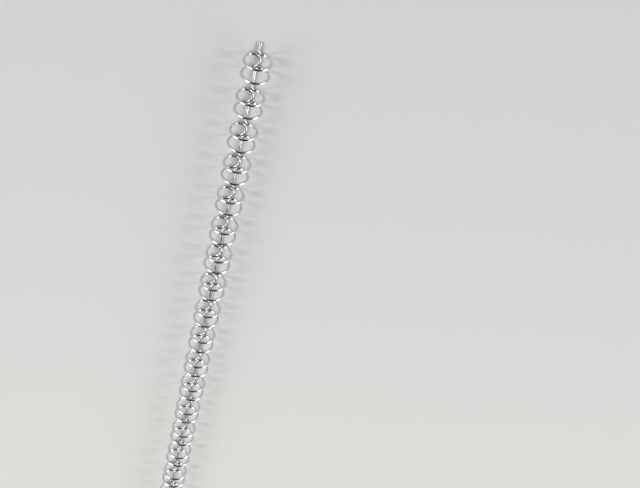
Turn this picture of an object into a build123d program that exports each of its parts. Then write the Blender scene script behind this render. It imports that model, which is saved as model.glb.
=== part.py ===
"""Twin-loop wire binding spine: one continuous wire, crimped shut into a tube of paired rings.

The wire runs as a comb.  Each loop is two parallel legs joined by a rounded tip, and a base
link joins each loop to the next.  The legs are curled round until the tips come back to the
base, so that each tip nests in the flared mouth between the two base bends of its own loop.
That seam is flattened a little, and the closed spine lies on it.

X runs along the spine, Y across it and Z is up.  The origin is on the surface under the
middle of the spine.  Sizes are in millimetres.
"""

import os
from math import asin, degrees, pi, sqrt

from build123d import *

# Driving dimensions
LOOP_PITCH = 14.2875     # 9/16 inch from loop to loop
LOOP_COUNT = 19          # for a page 279.4 mm tall
WIRE_DIAMETER = 0.9
RING_INSIDE = 7.94       # 5/16 inch inside the closed ring
LOOP_WIDTH = 5.3         # between the centrelines of a loop's two legs
BASE_BEND = 1.2          # centreline radius of the bend from a base link into a leg
SHOULDER_BEND = 1.2      # centreline radius of the bend at each side of the flat seam
SEAM_GAP = 0.1           # clear space between a tip and the base bends beside it
SEAM_STRAIGHT = 0.25     # straight wire between a base bend or a tip and the shoulder

# Sizes that follow from them
wire_radius = WIRE_DIAMETER / 2
ring_radius = (RING_INSIDE + WIRE_DIAMETER) / 2
tip_radius = LOOP_WIDTH / 2
link_middle = LOOP_PITCH / 2
link_start = tip_radius + BASE_BEND

# A tip and a base bend are two round bends side by side, SEAM_GAP apart.  Their centres stand
# evenly on either side of the seam's middle line.
bend_spacing = tip_radius + BASE_BEND + WIRE_DIAMETER + SEAM_GAP
seam_half = sqrt(bend_spacing**2 - link_start**2) / 2
base_line = seam_half - BASE_BEND
flat_half = seam_half + SEAM_STRAIGHT

# The shoulders and the ring are tangent arcs, so this is the turn that each shoulder takes.
shoulder_turn = degrees(asin(flat_half / (ring_radius - SHOULDER_BEND)))
ring_turn = 360 - 2 * shoulder_turn

# Centreline of half a loop, from the middle of a base link to the top of the tip
seam_plane = Plane.XY.offset(wire_radius)

with BuildLine(seam_plane) as base:
    link = Line((link_middle, base_line), (link_start, base_line))
    JernArc(start=link @ 1, tangent=link % 1, radius=BASE_BEND, arc_size=-90)

with BuildLine(Plane.YZ.offset(tip_radius)) as leg:
    base_side = Line((seam_half, wire_radius), (flat_half, wire_radius))
    rise = JernArc(base_side @ 1, base_side % 1, SHOULDER_BEND, shoulder_turn)
    ring = JernArc(rise @ 1, rise % 1, ring_radius, ring_turn)
    fall = JernArc(ring @ 1, ring % 1, SHOULDER_BEND, shoulder_turn)
    tip_side = Line(fall @ 1, (-seam_half, wire_radius))

with BuildLine(seam_plane) as tip:
    JernArc(start=tip_side @ 1, tangent=tip_side % 1, radius=tip_radius, arc_size=90)

# One loop: half of it swept along that centreline, and mirrored
with BuildPart() as loop:
    with BuildSketch(Plane(origin=link @ 0, z_dir=link % 0)):
        Circle(wire_radius)
    sweep(path=Wire(base.edges() + leg.edges() + tip.edges()))
    mirror(about=Plane.YZ)

# The whole wire: the loops meet at the middle of each base link and fuse into one length
with BuildPart() as twin_loop_wire:
    with GridLocations(LOOP_PITCH, LOOP_PITCH, LOOP_COUNT, 1):
        add(loop.part)

twin_loop_wire.part.label = "twin_loop_wire"

os.makedirs("parts", exist_ok=True)
export_step(twin_loop_wire.part, "parts/twin_loop_wire.step")

wire_length = 2 * LOOP_COUNT * sum(part.wire().length for part in (base, leg, tip))
print("solids", len(twin_loop_wire.part.solids()), "valid", twin_loop_wire.part.is_valid)
print("wire length", round(wire_length, 2), "mm")
print("volume", round(twin_loop_wire.part.volume, 3), "mm3; section times length",
      round(pi * wire_radius**2 * wire_length, 3))
print("size", twin_loop_wire.part.bounding_box().size)
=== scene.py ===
"""The looks of the twin-loop binding spine: its plated wire, the table under it and the light.

The wire is one long comb, bent shut into paired rings.  It is made here as a forming machine
makes it: round stock is fed and bent, loop after loop, and both ends are sheared.  Lengths are
in metres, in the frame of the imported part: X along the spine, Z up from the table.
"""

import logging
import random
from dataclasses import dataclass, field
from enum import Enum
from math import asin, ceil, degrees, pi, radians, sin, sqrt

import bmesh
import bpy
from bmesh.types import BMEdge, BMesh, BMVert
from mathutils import Matrix, Quaternion, Vector


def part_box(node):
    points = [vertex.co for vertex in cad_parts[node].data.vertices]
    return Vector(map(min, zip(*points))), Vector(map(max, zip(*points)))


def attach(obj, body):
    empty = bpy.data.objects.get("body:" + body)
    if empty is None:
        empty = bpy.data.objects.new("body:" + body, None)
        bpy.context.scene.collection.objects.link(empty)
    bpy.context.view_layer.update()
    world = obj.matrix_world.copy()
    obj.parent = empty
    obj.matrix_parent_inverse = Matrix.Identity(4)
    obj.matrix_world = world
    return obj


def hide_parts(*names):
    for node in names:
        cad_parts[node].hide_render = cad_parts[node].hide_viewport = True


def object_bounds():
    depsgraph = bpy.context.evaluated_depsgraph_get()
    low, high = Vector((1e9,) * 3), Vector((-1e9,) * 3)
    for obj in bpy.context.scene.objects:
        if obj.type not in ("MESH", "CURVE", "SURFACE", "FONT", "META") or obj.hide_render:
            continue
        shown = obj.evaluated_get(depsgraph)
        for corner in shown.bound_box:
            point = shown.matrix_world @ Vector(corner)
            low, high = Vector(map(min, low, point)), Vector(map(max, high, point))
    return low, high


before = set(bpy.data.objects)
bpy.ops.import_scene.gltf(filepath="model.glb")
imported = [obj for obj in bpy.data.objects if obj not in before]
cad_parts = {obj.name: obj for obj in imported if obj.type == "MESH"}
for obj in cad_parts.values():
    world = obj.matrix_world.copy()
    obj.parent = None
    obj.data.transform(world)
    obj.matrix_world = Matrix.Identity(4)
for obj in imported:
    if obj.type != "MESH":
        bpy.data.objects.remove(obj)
CAD_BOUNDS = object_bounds()

NODE = "twin_loop_wire"
BODY = "root"
MM = 0.001

Colour = tuple[float, float, float, float]

# a fade is where a mask starts and where it is full, in the values of its noise
Fade = tuple[float, float]

# lines of the drawing die: how many times they change in a metre of wire
DIE_LINE_CHANGE = 90.0
DIE_LINE_FADE: Fade = (0.52, 0.72)

# hairline scratches: the length and breadth of their noise, and how each set lies to the wire
HAIRLINE_SIZE = (0.9 * MM, 0.03 * MM, 1.0)
HAIRLINE_SLANTS = (radians(14), radians(-31), radians(68))
HAIRLINE_FADE: Fade = (0.62, 0.76)

# the patches that hairlines gather in, and dull patches: how many fit in a metre
SCRATCHED_PATCHES = 420.0
SCRATCHED_PATCH_FADE: Fade = (0.44, 0.62)
DULL_PATCHES = 260.0
DULL_PATCH_FADE: Fade = (0.42, 0.68)

log = logging.getLogger("binding_spine")


# ---------------------------------------------------------------- shader nodes


class NodeTree:
    """Adds nodes to one shader tree and joins their sockets."""

    def __init__(self, tree: bpy.types.NodeTree) -> None:
        """Takes over a tree.

        Args:
            tree: The node tree of a material, a world or a node group.
        """
        self.tree = tree

    def add(self, kind: str, inputs: dict[str | int, object] | None = None,
            **settings: object) -> bpy.types.Node:
        """Adds a node.

        Args:
            kind: The node's type, such as ShaderNodeMath.
            inputs: What each input takes: another node's output socket, or a plain value.
            settings: The node's own properties.

        Returns:
            The new node.
        """
        node = self.tree.nodes.new(kind)
        for name, value in settings.items():
            setattr(node, name, value)
        for name, value in (inputs or {}).items():
            if isinstance(value, bpy.types.NodeSocket):
                self.tree.links.new(value, node.inputs[name])
            else:
                node.inputs[name].default_value = value
        return node

    def math(self, operation: str, first: object, second: object = 0.0) -> bpy.types.NodeSocket:
        """Adds a Math node and returns its value."""
        return self.add("ShaderNodeMath", {0: first, 1: second}, operation=operation).outputs[0]

    def stretch(self, vector: bpy.types.NodeSocket, scale: tuple[float, float, float]
                ) -> bpy.types.NodeSocket:
        """Scales a coordinate by a different number along each axis."""
        return self.add("ShaderNodeMapping", {"Vector": vector, "Scale": scale}).outputs[0]

    def remap(self, value: bpy.types.NodeSocket, low: float, high: float,
              to_low: float, to_high: float, ease: str = "LINEAR") -> bpy.types.NodeSocket:
        """Maps a value from one range to another, and holds it at the ends.

        Args:
            value: The value to map.
            low: The start of the range it comes from.
            high: The end of the range it comes from.
            to_low: What low becomes.
            to_high: What high becomes.
            ease: LINEAR, or SMOOTHSTEP where the ends should be gentle.

        Returns:
            The mapped value.
        """
        node = self.add("ShaderNodeMapRange", {
            "Value": value, "From Min": low, "From Max": high,
            "To Min": to_low, "To Max": to_high}, interpolation_type=ease)
        return node.outputs["Result"]

    def mask(self, value: bpy.types.NodeSocket, fade: Fade) -> bpy.types.NodeSocket:
        """Makes a mask that is 0 up to the start of a fade and 1 from its end."""
        return self.remap(value, *fade, 0.0, 1.0)

    def noise(self, place: bpy.types.NodeSocket, detail: float, roughness: float,
              scale: float = 1.0) -> bpy.types.NodeSocket:
        """Adds a noise texture.

        Args:
            place: The coordinate that it reads.
            detail: How many finer layers lie on the first.
            roughness: How strong the finer layers are.
            scale: How many grains fit in one unit of the coordinate.

        Returns:
            The noise, about 0.5 on average.
        """
        node = self.add("ShaderNodeTexNoise", {
            "Vector": place, "Scale": scale, "Detail": detail, "Roughness": roughness})
        return node.outputs["Fac"]

    def blend(self, mask: bpy.types.NodeSocket, plain: object, covered: object
              ) -> bpy.types.NodeSocket:
        """Mixes two colours by a mask.

        Args:
            mask: 0 where the plain colour shows and 1 where the other covers it.
            plain: The first colour, a socket or a Colour.
            covered: The second colour, a socket or a Colour.

        Returns:
            The mixed colour.
        """
        node = self.add("ShaderNodeMix", data_type="RGBA")
        for index, value in ((0, mask), (6, plain), (7, covered)):
            if isinstance(value, bpy.types.NodeSocket):
                self.tree.links.new(value, node.inputs[index])
            else:
                node.inputs[index].default_value = value
        return node.outputs[2]

    def join(self, output: bpy.types.NodeSocket, target: bpy.types.NodeSocket) -> None:
        """Joins an output socket to an input socket."""
        self.tree.links.new(output, target)


def new_group(name: str, inputs: dict[str, str], outputs: dict[str, str]
              ) -> tuple[bpy.types.NodeTree, NodeTree]:
    """Starts a shader node group.

    Args:
        name: The group's name.
        inputs: For each input, its socket type.
        outputs: For each output, its socket type.

    Returns:
        The group, and the builder that fills it.
    """
    group = bpy.data.node_groups.new(name, "ShaderNodeTree")
    for label, kind in inputs.items():
        group.interface.new_socket(label, in_out="INPUT", socket_type=kind)
    for label, kind in outputs.items():
        group.interface.new_socket(label, in_out="OUTPUT", socket_type=kind)
    return group, NodeTree(group)


def drawn_lines_group() -> bpy.types.NodeTree:
    """Makes the fine lines that a drawing die leaves along wire.

    The group's Wire input is a place on the wire as if it were straight, along X, and its
    Lines Across input says how many lines fit side by side in a metre.

    Returns:
        The node group, which puts out the lines as a height and as a mask.
    """
    group, nodes = new_group(
        "drawn_lines",
        {"Wire": "NodeSocketVector", "Lines Across": "NodeSocketFloat"},
        {"Height": "NodeSocketFloat", "Lines": "NodeSocketFloat"})
    taken = nodes.add("NodeGroupInput")
    parts = nodes.add("ShaderNodeSeparateXYZ", {0: taken.outputs["Wire"]})
    across = taken.outputs["Lines Across"]
    wire = nodes.add("ShaderNodeCombineXYZ", {
        "X": nodes.math("MULTIPLY", parts.outputs["X"], DIE_LINE_CHANGE),
        "Y": nodes.math("MULTIPLY", parts.outputs["Y"], across),
        "Z": nodes.math("MULTIPLY", parts.outputs["Z"], across)})
    lines = nodes.noise(wire.outputs[0], detail=3.0, roughness=0.6)
    given = nodes.add("NodeGroupOutput")
    nodes.join(lines, given.inputs["Height"])
    nodes.join(nodes.mask(lines, DIE_LINE_FADE), given.inputs["Lines"])
    return group


def handling_marks_group() -> bpy.types.NodeTree:
    """Makes the hairline scratches and dull patches of metal that has been handled.

    The group's Laid Flat input is a place on the surface as if it were unrolled, in X and Y.

    Returns:
        The node group, which puts out a mask of hairlines and one of dull patches.
    """
    group, nodes = new_group(
        "handling_marks",
        {"Place": "NodeSocketVector", "Laid Flat": "NodeSocketVector",
         "Scratch Density": "NodeSocketFloat"},
        {"Scratches": "NodeSocketFloat", "Dull": "NodeSocketFloat"})
    taken = nodes.add("NodeGroupInput")
    place = taken.outputs["Place"]
    hairlines = None
    for slant in HAIRLINE_SLANTS:
        laid = nodes.add("ShaderNodeMapping", {
            "Vector": taken.outputs["Laid Flat"], "Rotation": (0.0, 0.0, slant),
            "Scale": HAIRLINE_SIZE}, vector_type="TEXTURE")
        sharp = nodes.mask(nodes.noise(laid.outputs[0], detail=1.0, roughness=0.5),
                           HAIRLINE_FADE)
        hairlines = sharp if hairlines is None else nodes.math("MAXIMUM", hairlines, sharp)
    patchy = nodes.mask(nodes.noise(place, detail=2.0, roughness=0.5, scale=SCRATCHED_PATCHES),
                        SCRATCHED_PATCH_FADE)
    scratches = nodes.math("MULTIPLY", nodes.math("MULTIPLY", hairlines, patchy),
                           taken.outputs["Scratch Density"])
    dull = nodes.noise(place, detail=5.0, roughness=0.62, scale=DULL_PATCHES)
    given = nodes.add("NodeGroupOutput")
    nodes.join(scratches, given.inputs["Scratches"])
    nodes.join(nodes.mask(dull, DULL_PATCH_FADE), given.inputs["Dull"])
    return group


def new_material(name: str) -> tuple[bpy.types.Material, NodeTree, bpy.types.Node]:
    """Starts a material that holds one Principled BSDF.

    Args:
        name: The material's name.

    Returns:
        The material, the builder of its nodes, and its shader.
    """
    material = bpy.data.materials.new(name)
    material.use_nodes = True
    material.node_tree.nodes.clear()
    nodes = NodeTree(material.node_tree)
    shader = nodes.add("ShaderNodeBsdfPrincipled")
    output = nodes.add("ShaderNodeOutputMaterial")
    nodes.join(shader.outputs["BSDF"], output.inputs["Surface"])
    return material, nodes, shader


# ---------------------------------------------------------------- finishes


@dataclass(frozen=True)
class PlatedFinish:
    """Bright plating over drawn steel wire."""

    bright: Colour = (0.70, 0.71, 0.72, 1.0)
    dulled: Colour = (0.57, 0.58, 0.59, 1.0)
    roughness: float = 0.16
    dull_roughness: float = 0.34
    wire_radius: float = 0.45 * MM

    # fine lines from the drawing die, and waves that the feed rollers press into the wire
    lines_across: float = 9000.0
    line_height: float = 0.0025 * MM
    bump_strength: float = 0.5
    wave_scale: tuple[float, float, float] = (420.0, 1100.0, 1100.0)
    wave_height: float = 3.0
    scratch_density: float = 0.6

    # how dull a handled patch and a tight bend are, and the strain where a bend grows dull
    patch_dulling: float = 0.45
    bend_dulling: float = 0.55
    strain_fade: Fade = (0.1, 0.4)

    # what dull places, scratches and lines each add to the roughness
    dull_share: float = 0.6
    scratch_share: float = 0.7
    line_share: float = 0.25

    def _unrolled(self, nodes: NodeTree, wire: bpy.types.NodeSocket) -> bpy.types.NodeSocket:
        """Lays the skin of the straight wire out flat.

        Args:
            nodes: The builder of the material's nodes.
            wire: The place on the straight wire.

        Returns:
            The place on the flat skin: X along the wire, and Y the way round it.
        """
        parts = nodes.add("ShaderNodeSeparateXYZ", {0: wire})
        turn = nodes.math("ARCTAN2", parts.outputs["Z"], parts.outputs["Y"])
        return nodes.add("ShaderNodeCombineXYZ", {
            "X": parts.outputs["X"], "Y": nodes.math("MULTIPLY", turn, self.wire_radius)}
        ).outputs[0]

    def material(self, lines: bpy.types.NodeTree, marks: bpy.types.NodeTree
                 ) -> bpy.types.Material:
        """Makes the material.

        Args:
            lines: The group that draws the die's lines along the wire.
            marks: The group that draws scratches and dull patches.

        Returns:
            The material of the wire's plated surface.
        """
        material, nodes, shader = new_material("bright_plating")
        straight = nodes.add("ShaderNodeAttribute", attribute_name="straight_wire")
        wire = straight.outputs["Vector"]
        strain = nodes.add("ShaderNodeAttribute", attribute_name="bend_strain")
        drawn = nodes.add("ShaderNodeGroup", {"Wire": wire, "Lines Across": self.lines_across},
                          node_tree=lines)
        handled = nodes.add("ShaderNodeGroup", {
            "Place": wire, "Laid Flat": self._unrolled(nodes, wire),
            "Scratch Density": self.scratch_density}, node_tree=marks)
        bent = nodes.remap(strain.outputs["Fac"], *self.strain_fade, 0.0, self.bend_dulling)
        dull = nodes.math("MAXIMUM", bent,
                          nodes.math("MULTIPLY", handled.outputs["Dull"], self.patch_dulling))
        nodes.join(nodes.blend(dull, self.bright, self.dulled), shader.inputs["Base Color"])
        worn = nodes.math("ADD", nodes.math("MULTIPLY", dull, self.dull_share),
                          nodes.math("MULTIPLY", handled.outputs["Scratches"],
                                     self.scratch_share))
        worn = nodes.math("ADD", worn,
                          nodes.math("MULTIPLY", drawn.outputs["Lines"], self.line_share))
        nodes.join(nodes.remap(worn, 0.0, 1.0, self.roughness, self.dull_roughness),
                   shader.inputs["Roughness"])
        waves = nodes.noise(nodes.stretch(wire, self.wave_scale), detail=1.0, roughness=0.5)
        height = nodes.math("SUBTRACT", drawn.outputs["Height"], handled.outputs["Scratches"])
        height = nodes.math("ADD", height, nodes.math("MULTIPLY", waves, self.wave_height))
        bump = nodes.add("ShaderNodeBump", {"Height": height, "Strength": self.bump_strength,
                                            "Distance": self.line_height})
        nodes.join(bump.outputs["Normal"], shader.inputs["Normal"])
        shader.inputs["Metallic"].default_value = 1.0
        return material


@dataclass(frozen=True)
class ShearedSteelFinish:
    """Bare steel where the wire was cut off after plating."""

    steel: Colour = (0.50, 0.49, 0.47, 1.0)
    smeared: Colour = (0.34, 0.33, 0.31, 1.0)
    roughness: float = 0.34
    torn_roughness: float = 0.55
    lines_across: float = 14000.0
    tear_depth: float = 0.008 * MM
    tear_strength: float = 0.6
    scratch_density: float = 1.0

    def material(self, lines: bpy.types.NodeTree, marks: bpy.types.NodeTree
                 ) -> bpy.types.Material:
        """Makes the material.

        Args:
            lines: The group that draws lines, which run along the cut here.
            marks: The group that draws scuffs and dull patches.

        Returns:
            The material of the wire's two cut faces.
        """
        material, nodes, shader = new_material("sheared_steel")
        place = nodes.add("ShaderNodeTexCoord").outputs["Object"]
        turned = nodes.add("ShaderNodeMapping", {"Vector": place,
                                                 "Rotation": (0.0, pi / 2, 0.0)}).outputs[0]
        torn = nodes.add("ShaderNodeGroup", {"Wire": turned, "Lines Across": self.lines_across},
                         node_tree=lines)
        handled = nodes.add("ShaderNodeGroup", {
            "Place": place, "Laid Flat": turned, "Scratch Density": self.scratch_density},
            node_tree=marks)
        rough = nodes.math("MAXIMUM", torn.outputs["Lines"], handled.outputs["Dull"])
        nodes.join(nodes.blend(rough, self.steel, self.smeared), shader.inputs["Base Color"])
        nodes.join(nodes.remap(rough, 0.0, 1.0, self.roughness, self.torn_roughness),
                   shader.inputs["Roughness"])
        bump = nodes.add("ShaderNodeBump", {
            "Height": torn.outputs["Height"], "Strength": self.tear_strength,
            "Distance": self.tear_depth})
        nodes.join(bump.outputs["Normal"], shader.inputs["Normal"])
        shader.inputs["Metallic"].default_value = 1.0
        return material


@dataclass(frozen=True)
class TableFinish:
    """A plain pale table with painted light falloff: painted shade makes it darker and cooler
    towards the head of the spine, and it is lighter towards the foot.
    """

    # painted shade at the head of the spine and painted light at its foot, fading between from_x
    # and to_x
    painted_shade_head: Colour = (0.60, 0.62, 0.625, 1.0)
    painted_light_foot: Colour = (0.81, 0.82, 0.78, 1.0)
    from_x: float = -0.50
    to_x: float = 0.35
    roughness: float = 0.9
    gloss: float = 0.2

    def material(self) -> bpy.types.Material:
        """Makes the material.

        Returns:
            The matt material of the table top.
        """
        material, nodes, shader = new_material("pale_table")
        place = nodes.add("ShaderNodeTexCoord").outputs["Object"]
        along = nodes.add("ShaderNodeSeparateXYZ", {0: place}).outputs["X"]
        # painted light falloff along the spine: shaded colour at the head, lit colour at the foot
        painted_light_falloff = nodes.remap(along, self.from_x, self.to_x, 0.0, 1.0, ease="SMOOTHSTEP")
        nodes.join(nodes.blend(painted_light_falloff, self.painted_shade_head, self.painted_light_foot), shader.inputs["Base Color"])
        shader.inputs["Roughness"].default_value = self.roughness
        shader.inputs["Specular IOR Level"].default_value = self.gloss
        return material


# ---------------------------------------------------------------- forming the wire


def draw_rim(skin: BMesh, rim: list[BMEdge]) -> tuple[list[BMVert], list[BMEdge]]:
    """Draws a new rim out of the open one, and skins the gap between them.

    Args:
        skin: The mesh that the rim belongs to.
        rim: The edges round the opening.

    Returns:
        The corners and the edges of the new rim, which lies on the old one until it is moved.
    """
    drawn = bmesh.ops.extrude_edge_only(skin, edges=rim)["geom"]
    ring = [part for part in drawn if isinstance(part, BMVert)]
    held = set(ring)
    edges = [part for part in drawn
             if isinstance(part, BMEdge) and all(vert in held for vert in part.verts)]
    return ring, edges


def extent(ring: list[BMVert], axis: str) -> float:
    """Measures how far corners reach along one axis, such as "y"."""
    places = [getattr(vert.co, axis) for vert in ring]
    return max(places) - min(places)


class Turn(Enum):
    """The side that a bend turns to, seen along the wire: X is ahead, Y left and Z up."""

    LEFT = (0.0, 1.0, 0.0)
    RIGHT = (0.0, -1.0, 0.0)
    UP = (0.0, 0.0, 1.0)

    @property
    def side(self) -> Vector:
        """The way from the wire to the middle of the bend."""
        return Vector(self.value)


@dataclass
class WireFormer:
    """Feeds and bends round wire, drawing one ring of its skin out of the last."""

    diameter: float
    start: Matrix
    fed: float = 0.0
    facets: int = 16
    turn_step: float = radians(3.2)
    tight_step: float = 0.18 * MM
    flattening: float = 0.16

    def __post_init__(self) -> None:
        """Clamps a round section of the stock at the start."""
        self.skin: BMesh = bmesh.new()
        self.straight = self.skin.verts.layers.float_vector.new("straight_wire")
        self.strain = self.skin.verts.layers.float.new("bend_strain")
        across = Matrix.Rotation(pi / 2, 4, "Y")
        ring = bmesh.ops.create_circle(self.skin, cap_ends=False, segments=self.facets,
                                       radius=self.diameter / 2, matrix=across)["verts"]
        for vert in ring:
            vert[self.straight] = Vector((self.fed, vert.co.y, vert.co.z))
        bmesh.ops.transform(self.skin, matrix=self.start, verts=ring)
        self.head = self.start.copy()
        self.pressed = Matrix.Identity(4)
        self.rim: list[BMEdge] = list(self.skin.edges)

    def _draw(self, head: Matrix, pressed: Matrix, length: float, strain: Vector) -> None:
        """Draws the next ring out of the last one.

        Args:
            head: Where the wire's end is now, and which way it points.
            pressed: The small change of its round section there.
            length: The length of wire from the last ring.
            strain: The way to the inside of the bend, as long as the bend is tight.
        """
        ring, self.rim = draw_rim(self.skin, self.rim)
        step = head @ pressed @ self.pressed.inverted() @ self.head.inverted()
        bmesh.ops.transform(self.skin, matrix=step, verts=ring)
        self.head, self.pressed = head, pressed
        self.fed += length
        for vert in ring:
            section = vert[self.straight]
            vert[self.straight] = Vector((self.fed, section.y, section.z))
            vert[self.strain] = -2 * strain.dot(Vector((0, section.y, section.z))) / self.diameter

    def feed(self, length: float, pieces: int = 1) -> None:
        """Feeds straight wire.

        Args:
            length: How much wire.
            pieces: How many rings it is divided into.
        """
        for _ in range(pieces):
            head = self.head @ Matrix.Translation((length / pieces, 0, 0))
            self._draw(head, Matrix.Identity(4), length / pieces, Vector())

    def bend(self, turn: Turn, radius: float, angle: float) -> None:
        """Bends the wire round a mandrel.

        The section is pressed a little flat in the middle of a tight bend.

        Args:
            turn: The side that it turns to.
            radius: The radius of the wire's middle line.
            angle: How far it turns, in radians.
        """
        steps = ceil(min(angle / self.turn_step, angle * radius / self.tight_step))
        middle = Matrix.Translation(turn.side * radius)
        axis = Vector((1, 0, 0)).cross(turn.side)
        tight = self.diameter / 2 / radius
        for number in range(1, steps + 1):
            turned = Matrix.Rotation(angle / steps, 4, axis)
            head = self.head @ middle @ turned @ middle.inverted()
            share = sin(pi * number / steps)
            press = self.flattening * tight**2 * share
            flat = Matrix.Scale(1 - press, 4, turn.side)
            wide = Matrix.Scale(1 + press / 2, 4, axis)
            self._draw(head, flat @ wide, angle * radius / steps, turn.side * tight * share)


@dataclass(frozen=True)
class LoopSet:
    """How far one loop springs from its true place, as a share of the ring's height."""

    lean: float
    twist: float
    spread: float

    def vary(self, chance: random.Random) -> "LoopSet":
        """Draws one loop's set by chance, of about the size of this one."""
        return LoopSet(lean=chance.gauss(0, self.lean), twist=chance.gauss(0, self.twist),
                       spread=chance.gauss(0, self.spread))

    def shift(self, place: Vector, middle: float, wire: float, height: float) -> float:
        """Works out how far along the spine a point of the loop moves.

        Args:
            place: The point.
            middle: The loop's middle along the spine.
            wire: The wire's diameter, below which nothing moves.
            height: The height of the ring.

        Returns:
            The distance along X.
        """
        rise = max(0.0, place.z - wire) / (height - wire)
        side = 1 if place.x > middle else -1
        return rise * (self.lean * height + self.twist * place.y + side * self.spread * height)


@dataclass(frozen=True)
class PinchStep:
    """One step of a sheared end: its share of the length, and the section's size after it."""

    share: float
    tall: float
    broad: float


@dataclass
class TwinLoopWire:
    """The wire of the spine, from one sheared end to the other."""

    loop_count: int = 19
    wire_diameter: float = 0.9 * MM
    loop_width: float = 5.3 * MM
    base_bend: float = 1.2 * MM
    shoulder_bend: float = 1.2 * MM
    seam_gap: float = 0.1 * MM
    seam_straight: float = 0.25 * MM
    link_pieces: int = 3
    usual_set: LoopSet = LoopSet(lean=0.011, twist=0.013, spread=0.007)
    shear_length: float = 0.5 * MM
    shear_steps: tuple[PinchStep, ...] = (
        PinchStep(0.45, 0.93, 1.03), PinchStep(0.33, 0.76, 1.06), PinchStep(0.22, 0.58, 1.05))
    cut_edge: float = 0.035 * MM
    weld: float = 0.001 * MM
    seed: int = 7
    low: Vector = field(default_factory=lambda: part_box(NODE)[0])
    high: Vector = field(default_factory=lambda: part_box(NODE)[1])

    @property
    def pitch(self) -> float:
        """The distance from loop to loop."""
        return (self.high.x - self.low.x) / self.loop_count

    @property
    def ring_radius(self) -> float:
        """The radius of the ring's middle line."""
        return (self.high.y - self.low.y - self.wire_diameter) / 2

    @property
    def link_start(self) -> float:
        """The distance from a loop's middle to the end of its base link."""
        return self.loop_width / 2 + self.base_bend

    @property
    def seam_half(self) -> float:
        """Half the distance across the seam between a tip's and a base bend's middles."""
        spacing = self.link_start + self.wire_diameter + self.seam_gap
        return sqrt(spacing**2 - self.link_start**2) / 2

    @property
    def shoulder_turn(self) -> float:
        """The turn of the wire from the flat seam into the ring."""
        flat_half = self.seam_half + self.seam_straight
        return asin(flat_half / (self.ring_radius - self.shoulder_bend))

    def _leg(self, former: WireFormer) -> None:
        """Curls one leg, from the seam over the top and back to the seam.

        Args:
            former: The former that holds the wire.
        """
        former.feed(self.seam_straight)
        former.bend(Turn.UP, self.shoulder_bend, self.shoulder_turn)
        former.bend(Turn.UP, self.ring_radius, 2 * pi - 2 * self.shoulder_turn)
        former.bend(Turn.UP, self.shoulder_bend, self.shoulder_turn)
        former.feed(self.seam_straight)

    def _loop(self, number: int, fed: float) -> WireFormer:
        """Forms one loop, from the middle of a base link to the middle of the next.

        Args:
            number: The loop's place along the spine, from 0.
            fed: The length of wire used so far.

        Returns:
            The former, holding the loop's skin.
        """
        link = self.pitch / 2 - self.link_start
        start = Vector((self.low.x + number * self.pitch, self.seam_half - self.base_bend,
                        self.low.z + self.wire_diameter / 2))
        former = WireFormer(self.wire_diameter, Matrix.Translation(start), fed)
        former.feed(link, self.link_pieces)
        former.bend(Turn.LEFT, self.base_bend, pi / 2)
        self._leg(former)
        former.bend(Turn.RIGHT, self.loop_width / 2, pi)
        self._leg(former)
        former.bend(Turn.LEFT, self.base_bend, pi / 2)
        former.feed(link, self.link_pieces)
        return former

    def _settle(self, former: WireFormer, number: int, chance: random.Random) -> None:
        """Lets a loop spring a hair out of true, as each one does.

        Args:
            former: The former that holds the loop's skin.
            number: The loop's place along the spine, from 0.
            chance: The seeded source of chance.
        """
        spring = self.usual_set.vary(chance)
        middle = self.low.x + (number + 0.5) * self.pitch
        for vert in former.skin.verts:
            vert.co.x += spring.shift(vert.co, middle, self.low.z + self.wire_diameter,
                                      self.high.z)

    def _shear(self, skin: BMesh, end: float, outward: int) -> None:
        """Pinches and closes one end of the wire, as cutters leave it.

        Args:
            skin: The whole wire, with open ends.
            end: Where the wire ends along the spine.
            outward: 1 where the wire's end points along +X, and -1 where it points back.
        """
        rim = [edge for edge in skin.edges if edge.is_boundary
               and abs(edge.verts[0].co.x - end) < self.wire_diameter]
        ring = list(dict.fromkeys(vert for edge in rim for vert in edge.verts))
        axis = sum((vert.co for vert in ring), Vector()) / len(ring)
        bmesh.ops.translate(skin, vec=(-outward * self.shear_length, 0, 0), verts=ring)
        for step in self.shear_steps:
            ring, rim = draw_rim(skin, rim)
            bmesh.ops.translate(skin, vec=(outward * step.share * self.shear_length, 0, 0),
                                verts=ring)
            bmesh.ops.scale(skin, space=Matrix.Translation(-axis), verts=ring,
                            vec=(1, step.broad * self.wire_diameter / extent(ring, "y"),
                                 step.tall * self.wire_diameter / extent(ring, "z")))
        face = bmesh.ops.contextual_create(skin, geom=rim)["faces"][0]
        face.material_index = 1
        bmesh.ops.bevel(skin, geom=rim, offset=self.cut_edge, offset_type="OFFSET", segments=2,
                        profile=0.5, affect="EDGES", material=-1)

    def build(self) -> bpy.types.Object:
        """Forms the whole wire.

        Returns:
            The wire as one closed mesh object at the origin.
        """
        chance = random.Random(self.seed)
        whole, fed = bmesh.new(), 0.0
        part = bpy.data.meshes.new("loop")
        for number in range(self.loop_count):
            former = self._loop(number, fed)
            fed = former.fed
            self._settle(former, number, chance)
            former.skin.to_mesh(part)
            former.skin.free()
            whole.from_mesh(part)
        bpy.data.meshes.remove(part)
        bmesh.ops.remove_doubles(whole, verts=whole.verts, dist=self.weld)
        self._shear(whole, self.low.x, -1)
        self._shear(whole, self.high.x, 1)
        bmesh.ops.recalc_face_normals(whole, faces=whole.faces)
        for face in whole.faces:
            face.smooth = True
        mesh = bpy.data.meshes.new("formed_wire")
        whole.to_mesh(mesh)
        whole.free()
        wire = bpy.data.objects.new("formed_wire", mesh)
        bpy.context.scene.collection.objects.link(wire)
        log.info("wire: %.1f mm long, shoulders turned %.1f degrees", fed / MM,
                 degrees(self.shoulder_turn))
        return wire

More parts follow.
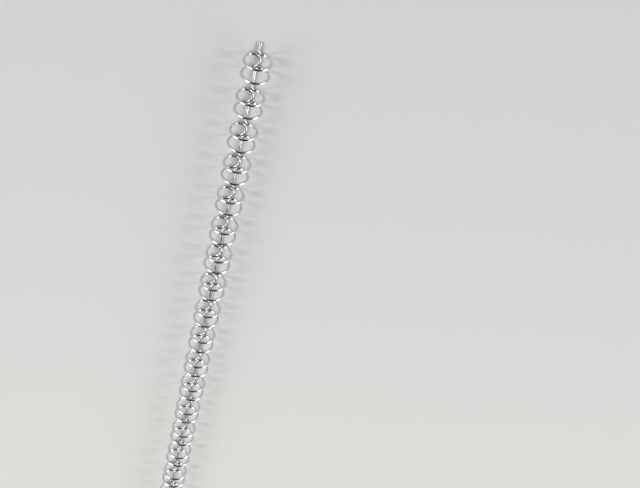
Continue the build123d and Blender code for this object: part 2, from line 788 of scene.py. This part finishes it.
    def dress(self, wire: bpy.types.Object) -> None:
        """Plates the wire and leaves bare steel at its cut ends.

        Args:
            wire: The finished wire, whose cut faces take the second material.
        """
        lines, marks = drawn_lines_group(), handling_marks_group()
        wire.data.materials.append(PlatedFinish().material(lines, marks))
        wire.data.materials.append(ShearedSteelFinish().material(lines, marks))


# ---------------------------------------------------------------- table, light and camera


@dataclass
class Table:
    """The plain table that the spine lies on."""

    radius: float = 4.0
    top: float = 0.0
    sides: int = 96

    def build(self) -> bpy.types.Object:
        """Makes the table top, and dresses it.

        Returns:
            The table top as a round sheet.
        """
        sheet = bmesh.new()
        bmesh.ops.create_circle(sheet, cap_ends=True, segments=self.sides,
                                radius=self.radius,
                                matrix=Matrix.Translation((0, 0, self.top)))
        mesh = bpy.data.meshes.new("table")
        sheet.to_mesh(mesh)
        sheet.free()
        table = bpy.data.objects.new("table", mesh)
        bpy.context.scene.collection.objects.link(table)
        mesh.materials.append(TableFinish().material())
        return table


@dataclass(frozen=True)
class Lamp:
    """One broad lamp, far off: the way to it from the spine, and its strength."""

    towards: tuple[float, float, float]
    strength: float


@dataclass
class StudioLight:
    """A copying stand: lamps and pale walls at both sides of the spine, and dark above it."""

    lamps: tuple[Lamp, ...] = (
        Lamp((-0.30, -0.75, 0.59), 1.20),
        Lamp((0.40, -0.72, 0.56), 1.10),
        Lamp((-0.25, 0.85, 0.46), 1.05),
        Lamp((0.45, 0.78, 0.44), 1.05))
    breadth: float = radians(32)
    wall: Colour = (0.75, 0.76, 0.755, 1.0)
    overhead: Colour = (0.014, 0.014, 0.0144, 1.0)
    wall_top: float = radians(31)
    overhead_from: float = radians(52)

    # how much a way along the spine counts towards its rise, beside a way across the spine
    endwise_share: float = 0.25

    def build(self) -> None:
        """Makes the lamps and the world."""
        for lamp in self.lamps:
            light = bpy.data.lights.new("soft_light", "SUN")
            light.energy = lamp.strength
            light.angle = self.breadth
            holder = bpy.data.objects.new("soft_light", light)
            holder.rotation_mode = "QUATERNION"
            holder.rotation_quaternion = Vector(lamp.towards).to_track_quat("Z", "Y")
            bpy.context.scene.collection.objects.link(holder)
        self._studio()

    def _studio(self) -> None:
        """Colours the world by how steeply it rises from the table.

        It is pale low down and dark overhead.  The dark reaches further down beyond the ends
        of the spine than at its sides.
        """
        world = bpy.data.worlds.new("studio")
        world.use_nodes = True
        world.node_tree.nodes.clear()
        nodes = NodeTree(world.node_tree)
        way = nodes.add("ShaderNodeTexCoord").outputs["Generated"]
        height = nodes.add("ShaderNodeSeparateXYZ", {0: way}).outputs["Z"]
        aside = nodes.add("ShaderNodeVectorMath", {
            0: nodes.stretch(way, (self.endwise_share, 1.0, 0.0))}, operation="LENGTH")
        rise = nodes.math("ARCTAN2", height, aside.outputs["Value"])
        above = nodes.remap(rise, self.wall_top, self.overhead_from, 0.0, 1.0,
                            ease="SMOOTHSTEP")
        colour = nodes.blend(above, self.wall, self.overhead)
        sky = nodes.add("ShaderNodeBackground", {"Color": colour})
        output = nodes.add("ShaderNodeOutputWorld")
        nodes.join(sky.outputs[0], output.inputs["Surface"])
        bpy.context.scene.world = world


@dataclass
class ViewCamera:
    """A camera beyond the head of the spine, turned so that the head is at the top."""

    aim: tuple[float, float, float] = (-0.0515, 0.0356, 0.0)
    distance: float = 0.5034
    heading: float = radians(13.465)
    down: float = radians(45.555)
    roll: float = radians(176.547)
    lens: float = 79.02
    clip: tuple[float, float] = (0.01, 50.0)

    def build(self) -> None:
        """Makes the camera and gives it to the scene."""
        level = Matrix.Rotation(self.heading, 3, "Z") @ Matrix.Rotation(self.down, 3, "Y")
        ahead = level @ Vector((1, 0, 0))
        data = bpy.data.cameras.new("view")
        data.lens = self.lens
        data.clip_start, data.clip_end = self.clip
        camera = bpy.data.objects.new("view", data)
        camera.rotation_mode = "QUATERNION"
        camera.rotation_quaternion = (ahead.to_track_quat("-Z", "Y")
                                      @ Quaternion((0, 0, 1), self.roll))
        camera.location = Vector(self.aim) - ahead * self.distance
        bpy.context.scene.collection.objects.link(camera)
        bpy.context.scene.camera = camera


# ---------------------------------------------------------------- the whole scene


def report(piece: bpy.types.Object) -> None:
    """Logs a finished piece's name and size."""
    mesh = piece.data
    log.info("%s: %d corners, %d faces", piece.name, len(mesh.vertices), len(mesh.polygons))


def main() -> None:
    """Builds the wire, its table, the light and the camera."""
    logging.basicConfig(level=logging.INFO, format="%(name)s: %(message)s")
    ViewCamera().build()
    StudioLight().build()
    table = Table(top=CAD_BOUNDS[0].z).build()
    report(table)

    spine = TwinLoopWire()
    wire = spine.build()
    spine.dress(wire)
    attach(wire, BODY)
    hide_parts(NODE)
    report(wire)

    bpy.context.scene.view_settings.view_transform = "Standard"


if __name__ == "__main__":
    main()
